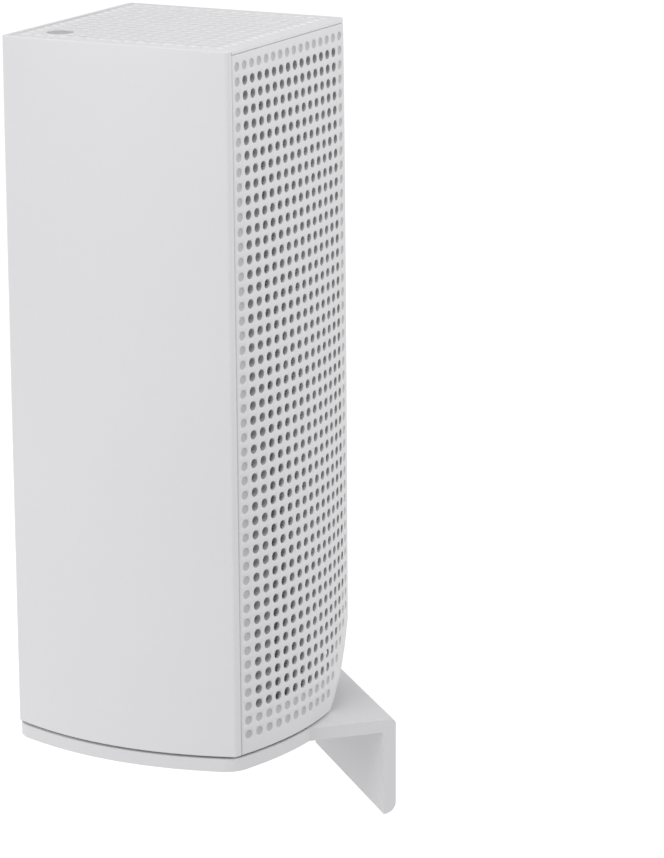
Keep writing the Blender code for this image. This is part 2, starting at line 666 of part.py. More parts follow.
def plate_profile(steps=6):
    """The wall plate in y and z, with its lower edge rounded on the wall side."""
    low = TRAY_TOP - PLATE_H
    points = [(WALL_Y, TRAY_TOP), (WALL_Y - PLATE_T, TRAY_TOP), (WALL_Y - PLATE_T, low)]
    for i in range(steps + 1):
        angle = math.pi / 2 * (i / steps - 1.0)
        points.append((WALL_Y - PLATE_FOOT_R + PLATE_FOOT_R * math.cos(angle),
                       low + PLATE_FOOT_R + PLATE_FOOT_R * math.sin(angle)))
    return points


def tray_outline():
    """The tower's bottom outline on the room side, run straight back to the wall at the arm's width."""
    arcs = {k: corner_arc(k, TRAY_CORNER_R, 0.0) for k in (2, 3, 0)}
    cut = arcs[0][1]
    along = arm_start()
    points = [side_point(1, -along, 0.0)]
    points += side_run(1, -along, HALF_SIDE - cut, 0.0, steps=4)[1:-1] + arcs[2][0]
    points += side_run(2, cut - HALF_SIDE, HALF_SIDE - cut, 0.0)[1:-1] + arcs[3][0]
    points += side_run(3, cut - HALF_SIDE, HALF_SIDE - cut, 0.0)[1:-1] + arcs[0][0]
    points += side_run(0, cut - HALF_SIDE, along, 0.0, steps=4)[1:]
    return [(-ARM_HALF_W, WALL_Y)] + [(p.x, p.y) for p in points] + [(ARM_HALF_W, WALL_Y)]


def arm_start():
    """How far along side 0 the tower's bottom outline is as wide as the arm, found by halving."""
    low, high = -HALF_SIDE, HALF_SIDE
    for _ in range(40):
        middle = (low + high) / 2
        if side_point(0, middle, 0.0).x > ARM_HALF_W:
            low = middle
        else:
            high = middle
    return low


def make_bracket(mat, parent):
    under = TRAY_TOP - PLATE_T
    bracket = prism("wall_bracket", tray_outline(), "z", (under, TRAY_TOP), mat, parent)
    plate = prism("wall_plate", plate_profile(), "x", (-ARM_HALF_W, ARM_HALF_W), None, parent)
    boolean(bracket, plate, "UNION")
    inner_y = WALL_Y - PLATE_T
    hole = [(COUNTERSINK_R + 0.2, inner_y - 0.2), (SCREW_HOLE_R, inner_y + COUNTERSINK_R - SCREW_HOLE_R)]
    hole.append((SCREW_HOLE_R, WALL_Y + 1.0))
    centres = [(x, 0.0, SCREW_HOLE_Z) for x in (-SCREW_HOLE_X, SCREW_HOLE_X)]
    boolean(bracket, turned("wall_screw_hole_cutter", hole, centres, None, parent, "y", 20))


# --- assembly ---------------------------------------------------------------------------------------

def make_materials():
    return {
        "white": material("white_plastic", (0.76, 0.75, 0.76), 0.45),
        "bracket": material("bracket_white", (0.72, 0.71, 0.72), 0.4),
        "lens": material("lens_grey", (0.5, 0.5, 0.52), 0.25),
        "dark": material("dark_plastic", (0.03, 0.03, 0.035), 0.6),
        "screen": material("screen_mesh", (0.12, 0.12, 0.13), 0.8),
        "base": material("base_plastic", (0.7, 0.69, 0.7), 0.5),
        "rubber": material("foot_rubber", (0.25, 0.25, 0.26), 0.8),
        "board": material("circuit_board", (0.02, 0.12, 0.06), 0.5),
        "aluminium": material("sink_aluminium", (0.65, 0.66, 0.68), 0.4, 1.0),
        "shield": material("shield_tin", (0.6, 0.6, 0.62), 0.35, 1.0),
        "pad": material("thermal_pad_grey", (0.35, 0.4, 0.5), 0.9),
        "steel": material("steel", (0.55, 0.55, 0.57), 0.35, 1.0),
        "gold": material("contact_gold", (0.8, 0.62, 0.25), 0.3, 1.0),
        "button": material("button_grey", (0.3, 0.3, 0.32), 0.5),
        "led": material("led_body", (0.85, 0.85, 0.75), 0.3),
    }


def main():
    clear_scene()
    mats = make_materials()
    frame = bpy.data.objects.new("node_frame", None)
    bpy.context.scene.collection.objects.link(frame)
    frame.location = (0.0, -WALL_Y * MM, -(TRAY_TOP - PLATE_H / 2) * MM)
    make_front_shell(mats["white"], frame)
    make_rear_shell(mats["white"], frame)
    make_dust_screen(mats["screen"], frame)
    make_top_cover(mats["white"], frame)
    make_led(mats["lens"], mats["board"], mats["led"], frame)
    make_base_cover(mats["base"], frame)
    make_ethernet_jacks(mats["shield"], mats["gold"], frame)
    make_power_inlet(mats["dark"], mats["steel"], frame)
    make_power_switch(mats["dark"], mats["dark"], frame)
    make_reset(mats["button"], mats["dark"], frame)
    make_feet(mats["rubber"], frame)
    make_chassis(mats["dark"], frame)
    make_electronics(mats, frame)
    make_antennas(mats["board"], mats["dark"], frame)
    make_screws(mats["steel"], frame)
    make_bracket(mats["bracket"], frame)


main()
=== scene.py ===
"""Looks of the mesh wifi node on its wall bracket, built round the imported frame.

Shapes are drawn in millimetres in the node's own frame: its upright axis at x = y = 0, the lower edge of
its shells at z = 0, and a corner towards each of +X, +Y (the wall), -X and -Y (the room). place() turns
a point of that frame into the row's. A side's u is the distance along it from the corner away from the
wall, and v is the height.
"""

import math

import bmesh
import bpy
from mathutils import Matrix, Vector


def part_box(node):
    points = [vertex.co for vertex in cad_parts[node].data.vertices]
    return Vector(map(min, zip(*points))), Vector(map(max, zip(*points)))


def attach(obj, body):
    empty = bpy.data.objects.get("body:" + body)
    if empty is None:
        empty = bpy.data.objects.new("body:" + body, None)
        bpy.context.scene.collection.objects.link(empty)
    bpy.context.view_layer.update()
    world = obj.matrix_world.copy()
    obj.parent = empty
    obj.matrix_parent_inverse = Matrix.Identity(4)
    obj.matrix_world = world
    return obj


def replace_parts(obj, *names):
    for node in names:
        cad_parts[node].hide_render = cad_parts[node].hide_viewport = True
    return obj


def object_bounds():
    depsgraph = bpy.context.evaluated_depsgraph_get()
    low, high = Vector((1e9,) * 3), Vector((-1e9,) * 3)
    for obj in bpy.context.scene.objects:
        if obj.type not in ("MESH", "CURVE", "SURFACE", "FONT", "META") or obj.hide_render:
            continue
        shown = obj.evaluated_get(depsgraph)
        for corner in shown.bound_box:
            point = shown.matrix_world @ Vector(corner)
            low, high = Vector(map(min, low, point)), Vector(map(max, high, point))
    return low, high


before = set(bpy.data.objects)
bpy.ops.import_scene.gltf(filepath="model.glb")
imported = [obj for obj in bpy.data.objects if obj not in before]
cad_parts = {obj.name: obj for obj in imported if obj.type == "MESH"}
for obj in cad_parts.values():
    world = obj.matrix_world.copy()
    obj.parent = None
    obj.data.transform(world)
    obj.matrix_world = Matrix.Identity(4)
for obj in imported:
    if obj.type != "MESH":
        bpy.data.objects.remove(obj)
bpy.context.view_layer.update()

MM = 0.001

# Outer shape of the tower, as in the frame
BODY_H = 185.4
HALF_SIDE = 33.0
BOW_BOTTOM = 6.35
BOW_POWER = 0.7
SHARP_R = 1.2
WALL_EDGE_R = 3.0
SKIN = 1.8
GAP = 0.3
SEAM_TOP = 184.25
EDGE_R = 0.3  # softened rims of the mouldings

# Perforations
COLUMNS = 16
ROWS = 47
PITCH_U = 3.787
PITCH_V = 3.822
TOP_ROW_Z = 181.06
HOLE_R = 1.2
LIP = 0.14
RING_STEPS = 16
DIMPLE_DEPTH = 0.35
DIMPLE_SHOULDER = (0.82, 0.8)  # shares of the hole's radius and of the dimple's depth
DIMPLE_FLOOR = 0.45  # share of the hole's radius
FIELD_SKIN = 0.75  # thickness of the panel in the middle of the field
BORDER_RUN = 2.5  # pitches from the rim over which the panel stays at its full thickness

# Cable outlet: the corner next to the wall is cut away below a slanted arc.
CUT_FOOT = (34.4, 0.0)
CUT_TOP = (46.6, 21.5)
CUT_SAG = 1.5
CUT_STEPS = 8
CUT_ABOVE = 6.0  # over the cut's top, for the faces that the trimming may touch
CUT_CLEAR = 1.2  # from the cut to the nearest perforation
BLIND_RUN = 4.0  # further from it than that, the perforations go right through

# Top cover and the light in it
LID_T = 1.0
LID_CORNER_STEPS = (9, 10.0)  # number of facets, and degrees from one to the next
LED_Y = -31.0
LENS_R = 3.2
LENS_MARGIN = 0.4  # plain sheet between the bore and the nearest perforation
LENS_STEM_R = 2.4
LENS_STEM_Z = (179.4, 182.6)
LENS_TIP_R = 0.3
LENS_STEPS = 40
LENS_DOME = ((LENS_R, 0.5), (3.13, 0.25), (2.95, 0.12), (2.7, 0.1), (2.5, 0.2), (2.0, 0.16),
             (1.3, 0.09), (0.6, 0.05))  # radius and depth below the top
BORE_STEPS = 48
BORE_Z = (-3.0, 1.0)  # from the top

# Wall bracket
PLATE_T = 3.5
TRAY_TOP = -0.6
TRAY_CORNER_R = 8.0
ARM_HALF_W = 30.0
WALL_Y = 50.1
PLATE_H = 27.0
PLATE_FOOT_R = 3.2
OUTER_BEND_R = 1.3
INNER_BEND_R = 0.6
PLATE_EDGE_R = 1.3
ARM_EDGE_R = 0.6
FINE_EDGE = 0.12  # share of PLATE_EDGE_R
STRIP_START_Y = 38.0  # the bent strip and the tray overlap from here
TRAY_END_Y = 40.0
SCREW_HOLE_X = 7.0
SCREW_HOLE_Z = -8.5
SCREW_HOLE_R = 2.0
COUNTERSINK_R = 3.4
SCREW_STEPS = 40

SHARP_ANGLE = math.radians(50.0)
HALVINGS = 40  # of the search for where the arm meets the tray

# Material slots of a perforated sheet; the hole walls and the dimples take darker copies of the white, which
# are painted shade
PANEL, TUBE, DIMPLE = range(3)

CORNERS = tuple(math.radians(90.0 * k) for k in range(4))

ORIGIN = Vector((0.0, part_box("wall_bracket")[1].y - WALL_Y * MM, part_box("front_shell")[0].z))


def place(point):
    return ORIGIN + Vector(point) * MM


# --- mesh helpers -----------------------------------------------------------------------------------

def add_object(name, mesh, mats, body, smooth_deg=30.0):
    obj = bpy.data.objects.new(name, mesh)
    bpy.context.scene.collection.objects.link(obj)
    for mat in mats:
        mesh.materials.append(mat)
    mesh.shade_smooth()
    mesh.set_sharp_from_angle(angle=math.radians(smooth_deg))
    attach(obj, body)
    return obj


def mesh_from(name, points, faces, slots=None):
    """A mesh in the row's frame from points in millimetres, with its faces pointing out."""
    mesh = bpy.data.meshes.new(name)
    mesh.from_pydata([place(p) for p in points], [], faces)
    if slots:
        mesh.polygons.foreach_set("material_index", slots)
    bm = bmesh.new()
    bm.from_mesh(mesh)
    bmesh.ops.recalc_face_normals(bm, faces=bm.faces)
    bm.to_mesh(mesh)
    bm.free()
    return mesh


def loft_faces(rings):
    """Points and faces of a stack of rings with equal numbers of points, closed at both ends."""
    count = len(rings[0])
    points = [point for ring in rings for point in ring]
    faces = []
    for level in range(len(rings) - 1):
        low = level * count
        for i in range(count):
            j = (i + 1) % count
            faces.append((low + i, low + j, low + count + j, low + count + i))
    last = len(points) - count
    faces.append(tuple(range(count))[::-1])
    faces.append(tuple(range(last, last + count)))
    return points, faces


def applied(mesh, *steps):
    """The mesh after modifiers, each given as (type, {setting: value}).

    Meshes given as settings become objects.
    """
    holder = bpy.data.objects.new("holder", mesh)
    bpy.context.scene.collection.objects.link(holder)
    helpers = [holder]
    for kind, settings in steps:
        modifier = holder.modifiers.new(kind.lower(), kind)
        for key, value in settings.items():
            if isinstance(value, bpy.types.Mesh):
                value = bpy.data.objects.new("helper", value)
                bpy.context.scene.collection.objects.link(value)
                helpers.append(value)
            setattr(modifier, key, value)
    bpy.context.view_layer.update()
    evaluated = holder.evaluated_get(bpy.context.evaluated_depsgraph_get())
    result = bpy.data.meshes.new_from_object(evaluated)
    result.name = mesh.name
    for helper in helpers:
        bpy.data.objects.remove(helper, do_unlink=True)
    return result


def solid(name, rings):
    return mesh_from(name, *loft_faces(rings))


def trim(mesh, planes, highest):
    """Cuts the mesh with planes and closes it after each.

    Each plane is (point, outward normal) in the row's frame. Faces above highest are left alone.
    """
    bm = bmesh.new()
    bm.from_mesh(mesh)
    for point, normal in planes:
        near = [f for f in bm.faces if min(v.co.z for v in f.verts) < highest]
        edges = {e for f in near for e in f.edges}
        verts = {v for f in near for v in f.verts}
        cut = bmesh.ops.bisect_plane(bm, geom=near + list(edges) + list(verts), dist=1e-7,
                                     plane_co=point, plane_no=normal, clear_outer=True)
        rim = [e for e in cut["geom_cut"] if isinstance(e, bmesh.types.BMEdge) and e.is_boundary]
        bmesh.ops.triangle_fill(bm, edges=rim, use_beauty=True)
    bmesh.ops.recalc_face_normals(bm, faces=bm.faces)
    bm.to_mesh(mesh)
    bm.free()


def weighted_normals(obj):
    modifier = obj.modifiers.new("face_weighted_shading", "WEIGHTED_NORMAL")
    modifier.keep_sharp = True
    modifier.weight = 90


# --- the tower's cross-section ----------------------------------------------------------------------

def bow(z):
    return BOW_BOTTOM * max(0.0, 1.0 - z / BODY_H) ** BOW_POWER


def side_point(side, along, z, inset=0.0, depth=0.0):
    """A point on side 0 to 3. depth goes straight in from the surface; inset draws a smaller tower."""
    normal = CORNERS[side] + math.radians(45.0)
    half = HALF_SIDE - inset
    out = half + bow(z) * (1.0 - (along / half) ** 2) - depth
    x = out * math.cos(normal) - along * math.sin(normal)
    y = out * math.sin(normal) + along * math.cos(normal)
    return Vector((x, y, z))


def side_run(side, start, end, z, inset=0.0, steps=20):
    return [side_point(side, start + (end - start) * i / steps, z, inset) for i in range(steps + 1)]


def corner_arc(corner, radius, z, inset=0.0, steps=6):
    """Rounds one upright edge, and returns its points with the tangent length that the arc takes."""
    half = HALF_SIDE - inset
    slope = 2.0 * bow(z) / half
    half_angle = math.radians(45.0) + math.atan(slope)
    tangent = radius / math.tan(half_angle)
    point = Vector((math.cos(CORNERS[corner]), math.sin(CORNERS[corner]))) * half * math.sqrt(2.0)
    centre = point * (1.0 - radius / math.sin(half_angle) / point.length)
    sweep = math.pi / 2.0 - half_angle
    arc = []
    for i in range(steps + 1):
        angle = CORNERS[corner] + sweep * (2.0 * i / steps - 1.0)
        arc.append(Vector((centre.x + radius * math.cos(angle), centre.y + radius * math.sin(angle), z)))
    return arc, tangent


# --- perforated sheets ------------------------------------------------------------------------------

class Sheet:
    """Collects the points and faces of a perforated sheet with an outer and an inner skin."""

    def __init__(self):
        self.points = []
        self.faces = []
        self.slots = []

    def face(self, ids, slot=PANEL):
        self.faces.append(ids)
        self.slots.append(slot)

    def add(self, point):
        self.points.append(point)
        return len(self.points) - 1

    def ring(self, surface, centre, radius, depth):
        turn = 2.0 * math.pi / RING_STEPS
        ids = []
        for m in range(RING_STEPS):
            u = centre[0] + radius * math.cos(turn * m)
            v = centre[1] + radius * math.sin(turn * m)
            ids.append(self.add(surface(u, v, depth(u, v))))
        return ids

    def web(self, corners, ring):
        """Joins a cell's corners, in the order +u+v, -u+v, -u-v, +u-v, to the ring inside it."""
        quarter = RING_STEPS // 4
        for k, corner in enumerate(corners):
            first = k * quarter
            for m in range(first, first + quarter):
                self.face((corner, ring[m], ring[(m + 1) % RING_STEPS]))
            self.face((corners[k - 1], ring[first], corner))

    def band(self, ring_a, ring_b, slot):
        for m in range(len(ring_a)):
            n = (m + 1) % len(ring_a)
            self.face((ring_a[m], ring_a[n], ring_b[n], ring_b[m]), slot)

    def cell(self, surface, centre, outer, inner, kind, thickness):
        """One cell of the grid: a through hole, a blind dimple or plain sheet."""
        if kind == "plain":
            self.face(tuple(outer))
            self.face(tuple(inner))
            return
        rim = self.ring(surface, centre, HOLE_R + LIP, lambda u, v: 0.0)
        throat = self.ring(surface, centre, HOLE_R, lambda u, v: LIP)
        self.web(outer, rim)
        self.band(rim, throat, PANEL)
        if kind == "hole":
            back = self.ring(surface, centre, HOLE_R, thickness)
            self.band(throat, back, TUBE)
            self.web(inner, back)
            return
        width, depth = DIMPLE_SHOULDER
        slope = self.ring(surface, centre, HOLE_R * width, lambda u, v: DIMPLE_DEPTH * depth)
        floor = self.ring(surface, centre, HOLE_R * DIMPLE_FLOOR, lambda u, v: DIMPLE_DEPTH)
        self.band(throat, slope, DIMPLE)
        self.band(slope, floor, DIMPLE)
        self.face(tuple(floor), DIMPLE)
        self.face(tuple(inner))


def circle(radius, steps):
    turn = 2.0 * math.pi / steps
    return [(radius * math.cos(turn * i), radius * math.sin(turn * i)) for i in range(steps)]


def smooth_step(t):
    t = min(1.0, max(0.0, t))
    return t * t * (3.0 - 2.0 * t)


def column_u(i):
    return HALF_SIDE + PITCH_U * (i - (COLUMNS - 1) / 2)


def row_z(j):
    return TOP_ROW_Z - PITCH_V * j


def side_thickness(u, v):
    """Full at the rim of the field and thinner in its middle."""
    from_rim = min(u - column_u(0), column_u(COLUMNS - 1) - u) / PITCH_U
    from_top = (row_z(0) - v) / PITCH_V
    nearest = min(from_rim, from_top)
    return SKIN + (FIELD_SKIN - SKIN) * smooth_step(nearest - BORDER_RUN + 0.5)


def cut_line():
    """The cable outlet's slanted arc as (y, z) points."""
    foot = Vector(CUT_FOOT)
    top = Vector(CUT_TOP)
    chord = top - foot
    sideways = Vector((chord.y, -chord.x)).normalized()
    line = []
    for i in range(CUT_STEPS + 1):
        t = i / CUT_STEPS
        line.append(foot + chord * i / CUT_STEPS + sideways * CUT_SAG * 4.0 * t * (1.0 - t))
    return line


def distance_to_cut(point):
    """How far a point stands from the cut, negative on the side that is cut away."""
    line = cut_line()
    best = 1e9
    for a, b in zip(line, line[1:]):
        along = (b - a).normalized()
        inwards = Vector((-along.y, along.x))
        best = min(best, (Vector((point.y, point.z)) - a).dot(inwards))
    return best


def side_kind(side, i, j):
    """What stands at column i and row j of a side's grid."""
    u, v = column_u(i), row_z(j)
    along = u - HALF_SIDE if side == 0 else HALF_SIDE - u
    clear = distance_to_cut(side_point(side, along, v)) - HOLE_R
    if clear < CUT_CLEAR:
        return "plain"
    edge = i in (0, COLUMNS - 1) or j == 0 or j >= ROWS - 2
    if edge or clear < CUT_CLEAR + BLIND_RUN:
        return "dimple"
    return "hole"


def make_rear_shell(mats):
    """The two perforated sides in one piece, with the rounded upright edge next to the wall between them."""
    sheet = Sheet()
    start = SKIN + GAP
    us = [start, start + EDGE_R]
    us += [column_u(i) + PITCH_U / 2 for i in range(COLUMNS - 1)]
    vs = [0.0, EDGE_R]
    vs += [row_z(j) - PITCH_V / 2 for j in range(ROWS - 2, -1, -1)]
    vs += [SEAM_TOP - EDGE_R, SEAM_TOP]
    rim_rows = (0, len(vs) - 1)

    def along_of(side, u):
        return u - HALF_SIDE if side == 0 else HALF_SIDE - u

    def upright_lines(level):
        """Outer and inner points of every upright grid line at one height."""
        z = vs[level]
        rim = EDGE_R if level in rim_rows else 0.0
        arc = corner_arc(1, WALL_EDGE_R - rim, z, rim)[0]
        inner_arc = corner_arc(1, WALL_EDGE_R - SKIN, z, SKIN)[0]
        outer, inner = {0: [], 1: []}, {0: [], 1: []}
        for side in (0, 1):
            for k, u in enumerate(us):
                depth = EDGE_R if k == 0 else rim
                along = along_of(side, u)
                outer[side].append(side_point(side, along, z, depth=depth))
                inner[side].append(side_point(side, along, z, depth=side_thickness(u, z)))
        return outer[0] + arc + outer[1][::-1], inner[0] + inner_arc + inner[1][::-1]

    skins = []
    for level in range(len(vs)):
        outer, inner = upright_lines(level)
        skins.append(([sheet.add(p) for p in outer], [sheet.add(p) for p in inner]))
    lines = len(skins[0][0])
    sides = {}
    for k in range(len(us)):
        sides[k] = (0, k)
        sides[lines - 2 - k] = (1, k)
    for level in range(len(vs) - 1):
        low, high = skins[level], skins[level + 1]
        row = ROWS - level  # level 1 is the lowest row of holes
        for k in range(lines - 1):
            outer = [high[0][k + 1], high[0][k], low[0][k], low[0][k + 1]]
            inner = [high[1][k + 1], high[1][k], low[1][k], low[1][k + 1]]
            side, column = sides.get(k, (None, None))
            if side is None or column == 0 or not 0 <= row < ROWS:
                sheet.cell(None, None, outer, inner, "plain", None)
                continue
            if side == 1:
                outer = [outer[1], outer[0], outer[3], outer[2]]
                inner = [inner[1], inner[0], inner[3], inner[2]]

            def surface(u, v, depth, side=side):
                return side_point(side, along_of(side, u), v, depth=depth)

            centre = (column_u(column - 1), row_z(row))
            kind = side_kind(side, column - 1, row)
            sheet.cell(surface, centre, outer, inner, kind, side_thickness)
        for k in (0, lines - 1):
            sheet.face((low[0][k], high[0][k], high[1][k], low[1][k]))
    for outer, inner in (skins[0], skins[-1]):
        for k in range(lines - 1):
            sheet.face((outer[k], outer[k + 1], inner[k + 1], inner[k]))
    mesh = mesh_from("rear_grille", sheet.points, sheet.faces, sheet.slots)
    line = cut_line()
    planes = []
    for a, b in zip(line, line[1:]):
        along = b - a
        planes.append((place((0.0, a.x, a.y)), Vector((0.0, along.y, -along.x)).normalized()))
    trim(mesh, planes, place((0.0, 0.0, CUT_TOP[1] + CUT_ABOVE)).z)
    grille = add_object("rear_grille", mesh, mats, "node", 60.0)
    weighted_normals(grille)
    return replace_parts(grille, "rear_shell")


def make_top_cover(mats):
    """The perforated lid, which drops inside the plain shell and lies on the perforated one."""
    sheet = Sheet()
    first = -HALF_SIDE + SKIN + GAP
    lines = [first, first + EDGE_R]
    lines += [column_u(i) - HALF_SIDE + PITCH_U / 2 for i in range(COLUMNS - 1)]
    lines += [HALF_SIDE - EDGE_R, HALF_SIDE]
    last = len(lines) - 1
    across = Vector((math.cos(math.radians(45.0)), math.sin(math.radians(45.0)), 0.0))
    back = Vector((-across.y, across.x, 0.0))

    def flat(a, b, depth):
        return across * a + back * b + Vector((0.0, 0.0, BODY_H - depth))

    def kind_of(i, j):
        a, b = column_u(i) - HALF_SIDE, column_u(j) - HALF_SIDE
        from_light = (flat(a, b, 0.0) - Vector((0.0, LED_Y, BODY_H))).length
        if from_light < LENS_R + GAP + HOLE_R + LENS_MARGIN:
            return "plain"
        if i in (0, COLUMNS - 1) or j in (0, COLUMNS - 1):
            return "dimple"
        return "hole"

    grid = []
    for i, a in enumerate(lines):
        column = []
        for j, b in enumerate(lines):
            depth = EDGE_R if i in (0, last) or j in (0, last) else 0.0
            column.append((sheet.add(flat(a, b, depth)), sheet.add(flat(a, b, LID_T))))
        grid.append(column)
    for i in range(last):
        for j in range(last):
            cell = [grid[i + 1][j + 1], grid[i][j + 1], grid[i][j], grid[i + 1][j]]
            outer = [c[0] for c in cell]
            inner = [c[1] for c in cell]
            if not (0 < i <= COLUMNS and 0 < j <= COLUMNS):
                sheet.cell(None, None, outer, inner, "plain", None)
                continue
            centre = (column_u(i - 1) - HALF_SIDE, column_u(j - 1) - HALF_SIDE)
            sheet.cell(flat, centre, outer, inner, kind_of(i - 1, j - 1), lambda u, v: LID_T)
    border = [(i, 0) for i in range(last)] + [(last, j) for j in range(last)]
    border += [(i, last) for i in range(last, 0, -1)] + [(0, j) for j in range(last, 0, -1)]
    for (i, j), (m, n) in zip(border, border[1:] + border[:1]):
        sheet.face((grid[i][j][0], grid[m][n][0], grid[m][n][1], grid[i][j][1]))
    mesh = mesh_from("top_grille", sheet.points, sheet.faces, sheet.slots)
    centre = Vector((0.0, (HALF_SIDE - WALL_EDGE_R) * math.sqrt(2.0), 0.0))
    planes = []
    facets, turn = LID_CORNER_STEPS
    for k in range(facets):
        angle = math.radians(90.0 + (k - facets // 2) * turn)
        outwards = Vector((math.cos(angle), math.sin(angle), 0.0))
        planes.append((place(centre + outwards * WALL_EDGE_R), outwards))
    trim(mesh, planes, place((0.0, 0.0, 2 * BODY_H)).z)
    rim = circle(LENS_R + GAP, BORE_STEPS)
    bore = solid("lens_bore", [[(x, LED_Y + y, BODY_H + z) for x, y in rim] for z in BORE_Z])
    mesh = applied(mesh, ("BOOLEAN", {"operation": "DIFFERENCE", "object": bore, "solver": "EXACT"}))
    mesh.materials.clear()
    cover = add_object("top_grille", mesh, mats, "node", 60.0)
    weighted_normals(cover)
    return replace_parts(cover, "top_cover")


# --- plain shell, window and bracket ----------------------------------------------------------------

def make_front_shell(mats):
    """Two plain sides in one piece, with softened rims, from the -X edge round -Y to the +X edge."""
    def ring(z, inset):
        half = HALF_SIDE - inset
        inner = HALF_SIDE - SKIN
        arcs = {k: corner_arc(k, SHARP_R - inset, z, inset) for k in (2, 3, 0)}
        cut = arcs[2][1]
        points = [side_point(1, inner, z, depth=inset)] + arcs[2][0]
        points += side_run(2, cut - half, half - cut, z, inset)[1:-1] + arcs[3][0]
        points += side_run(3, cut - half, half - cut, z, inset)[1:-1] + arcs[0][0]
        points += [side_point(0, -inner, z, depth=inset)]
        points += side_run(3, inner, -inner, z, SKIN)
        points += side_run(2, inner, -inner, z, SKIN)[1:]
        return points
    rim = [(EDGE_R * (1.0 - math.cos(a)), EDGE_R * (1.0 - math.sin(a)))
           for a in (0.0, math.pi / 6, math.pi / 3, math.pi / 2)]
    levels = list(rim)
    steps = 36
    levels += [(EDGE_R + (BODY_H - 2 * EDGE_R) * i / steps, 0.0) for i in range(1, steps)]
    levels += [(BODY_H - height, inset) for height, inset in rim[::-1]]
    mesh = mesh_from("front_cover", *loft_faces([ring(z, inset) for z, inset in levels]))
    shell = add_object("front_cover", mesh, mats, "node", 40.0)
    weighted_normals(shell)
    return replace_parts(shell, "front_shell")


def tray_outline(end_y):
    """The tower's bottom outline on the room side, run straight back to end_y at the arm's width."""
    arcs = {k: corner_arc(k, TRAY_CORNER_R, 0.0, steps=14) for k in (2, 3, 0)}
    cut = arcs[0][1]
    low, high = -HALF_SIDE, HALF_SIDE
    for _ in range(HALVINGS):
        along = (low + high) / 2
        if side_point(0, along, 0.0).x > ARM_HALF_W:
            low = along
        else:
            high = along
    points = side_run(1, -along, HALF_SIDE - cut, 0.0, steps=10)[:-1] + arcs[2][0]
    points += side_run(2, cut - HALF_SIDE, HALF_SIDE - cut, 0.0)[1:-1] + arcs[3][0]
    points += side_run(3, cut - HALF_SIDE, HALF_SIDE - cut, 0.0)[1:-1] + arcs[0][0]
    points += side_run(0, cut - HALF_SIDE, along, 0.0, steps=10)[1:]
    return [(-ARM_HALF_W, end_y)] + [(p.x, p.y) for p in points] + [(ARM_HALF_W, end_y)]


def quarter(y, z, radius, first):
    """A quarter turn in y and z about a centre, from the angle first in degrees on to first + 90."""
    angles = [math.radians(first + 15.0 * i) for i in range(7)]
    return [(y + radius * math.cos(a), z + radius * math.sin(a)) for a in angles]


def bend_profile(start_y):
    """The bent sheet in y and z, from under the tray to the bottom of the wall plate and back."""
    under = TRAY_TOP - PLATE_T
    inner_y = WALL_Y - PLATE_T
    low = TRAY_TOP - PLATE_H
    inner = quarter(inner_y - INNER_BEND_R, under - INNER_BEND_R, INNER_BEND_R, 0.0)[::-1]
    foot = quarter(WALL_Y - PLATE_FOOT_R, low + PLATE_FOOT_R, PLATE_FOOT_R, -90.0)
    outer = quarter(WALL_Y - OUTER_BEND_R, TRAY_TOP - OUTER_BEND_R, OUTER_BEND_R, 0.0)
    return [(start_y, under)] + inner + [(inner_y, low)] + foot + outer + [(start_y, TRAY_TOP)]


def weigh_edges(mesh, plate_top, plate_foot):
    """Marks the sharp edges for rounding: fully at the wall plate's sides, and less elsewhere."""
    bm = bmesh.new()
    bm.from_mesh(mesh)
    weights = bm.edges.layers.float.new("bevel_weight_edge")
    hole_z = place((0.0, 0.0, SCREW_HOLE_Z)).z
    for edge in bm.edges:
        if not edge.is_manifold or edge.calc_face_angle() < SHARP_ANGLE:
            continue
        middle = (edge.verts[0].co + edge.verts[1].co) / 2.0
        aside = abs(abs(middle.x) / MM - SCREW_HOLE_X)
        on_hole = max(aside, abs(middle.z - hole_z) / MM) < COUNTERSINK_R + 0.5
        if on_hole or middle.z < plate_foot:
            edge[weights] = FINE_EDGE
        elif middle.z < plate_top:
            edge[weights] = 1.0
        else:
            edge[weights] = ARM_EDGE_R / PLATE_EDGE_R
    bm.to_mesh(mesh)
    bm.free()


def make_bracket(mats):
    """Tray, arm and wall plate as one bent sheet with softened edges and two countersunk holes."""
    under = TRAY_TOP - PLATE_T
    bend = bend_profile(STRIP_START_Y)
    strip = solid("wall_sheet", [[(x, y, z) for y, z in bend] for x in (-ARM_HALF_W, ARM_HALF_W)])
    outline = tray_outline(TRAY_END_Y)
    tray = solid("tray_sheet", [[(x, y, z) for x, y in outline] for z in (under, TRAY_TOP)])
    inner_y = WALL_Y - PLATE_T
    steps = [("BOOLEAN", {"operation": "UNION", "object": tray, "solver": "EXACT"})]
    profile = [(COUNTERSINK_R + 0.2, inner_y - 0.2), (SCREW_HOLE_R, inner_y + COUNTERSINK_R - SCREW_HOLE_R)]
    profile.append((SCREW_HOLE_R, WALL_Y + 1.0))
    for x0 in (-SCREW_HOLE_X, SCREW_HOLE_X):
        rings = [[(x0 + x, y, SCREW_HOLE_Z + z) for x, z in circle(radius, SCREW_STEPS)]
                 for radius, y in profile]
        bore = solid("screw_bore", rings)
        steps.append(("BOOLEAN", {"operation": "DIFFERENCE", "object": bore, "solver": "EXACT"}))
    steps.append(("WELD", {"merge_threshold": 0.01 * MM}))
    mesh = applied(strip, *steps)
    plate_top = place((0.0, 0.0, under - 1.0)).z
    plate_foot = place((0.0, 0.0, TRAY_TOP - PLATE_H + 0.1)).z
    weigh_edges(mesh, plate_top, plate_foot)
    rounding = {"width": PLATE_EDGE_R * MM, "segments": 4, "limit_method": "WEIGHT"}
    mesh = applied(mesh, ("BEVEL", rounding))
    mesh.materials.clear()
    bracket = add_object("bent_bracket", mesh, mats, "bracket", 40.0)
    weighted_normals(bracket)
    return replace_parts(bracket, "wall_bracket")


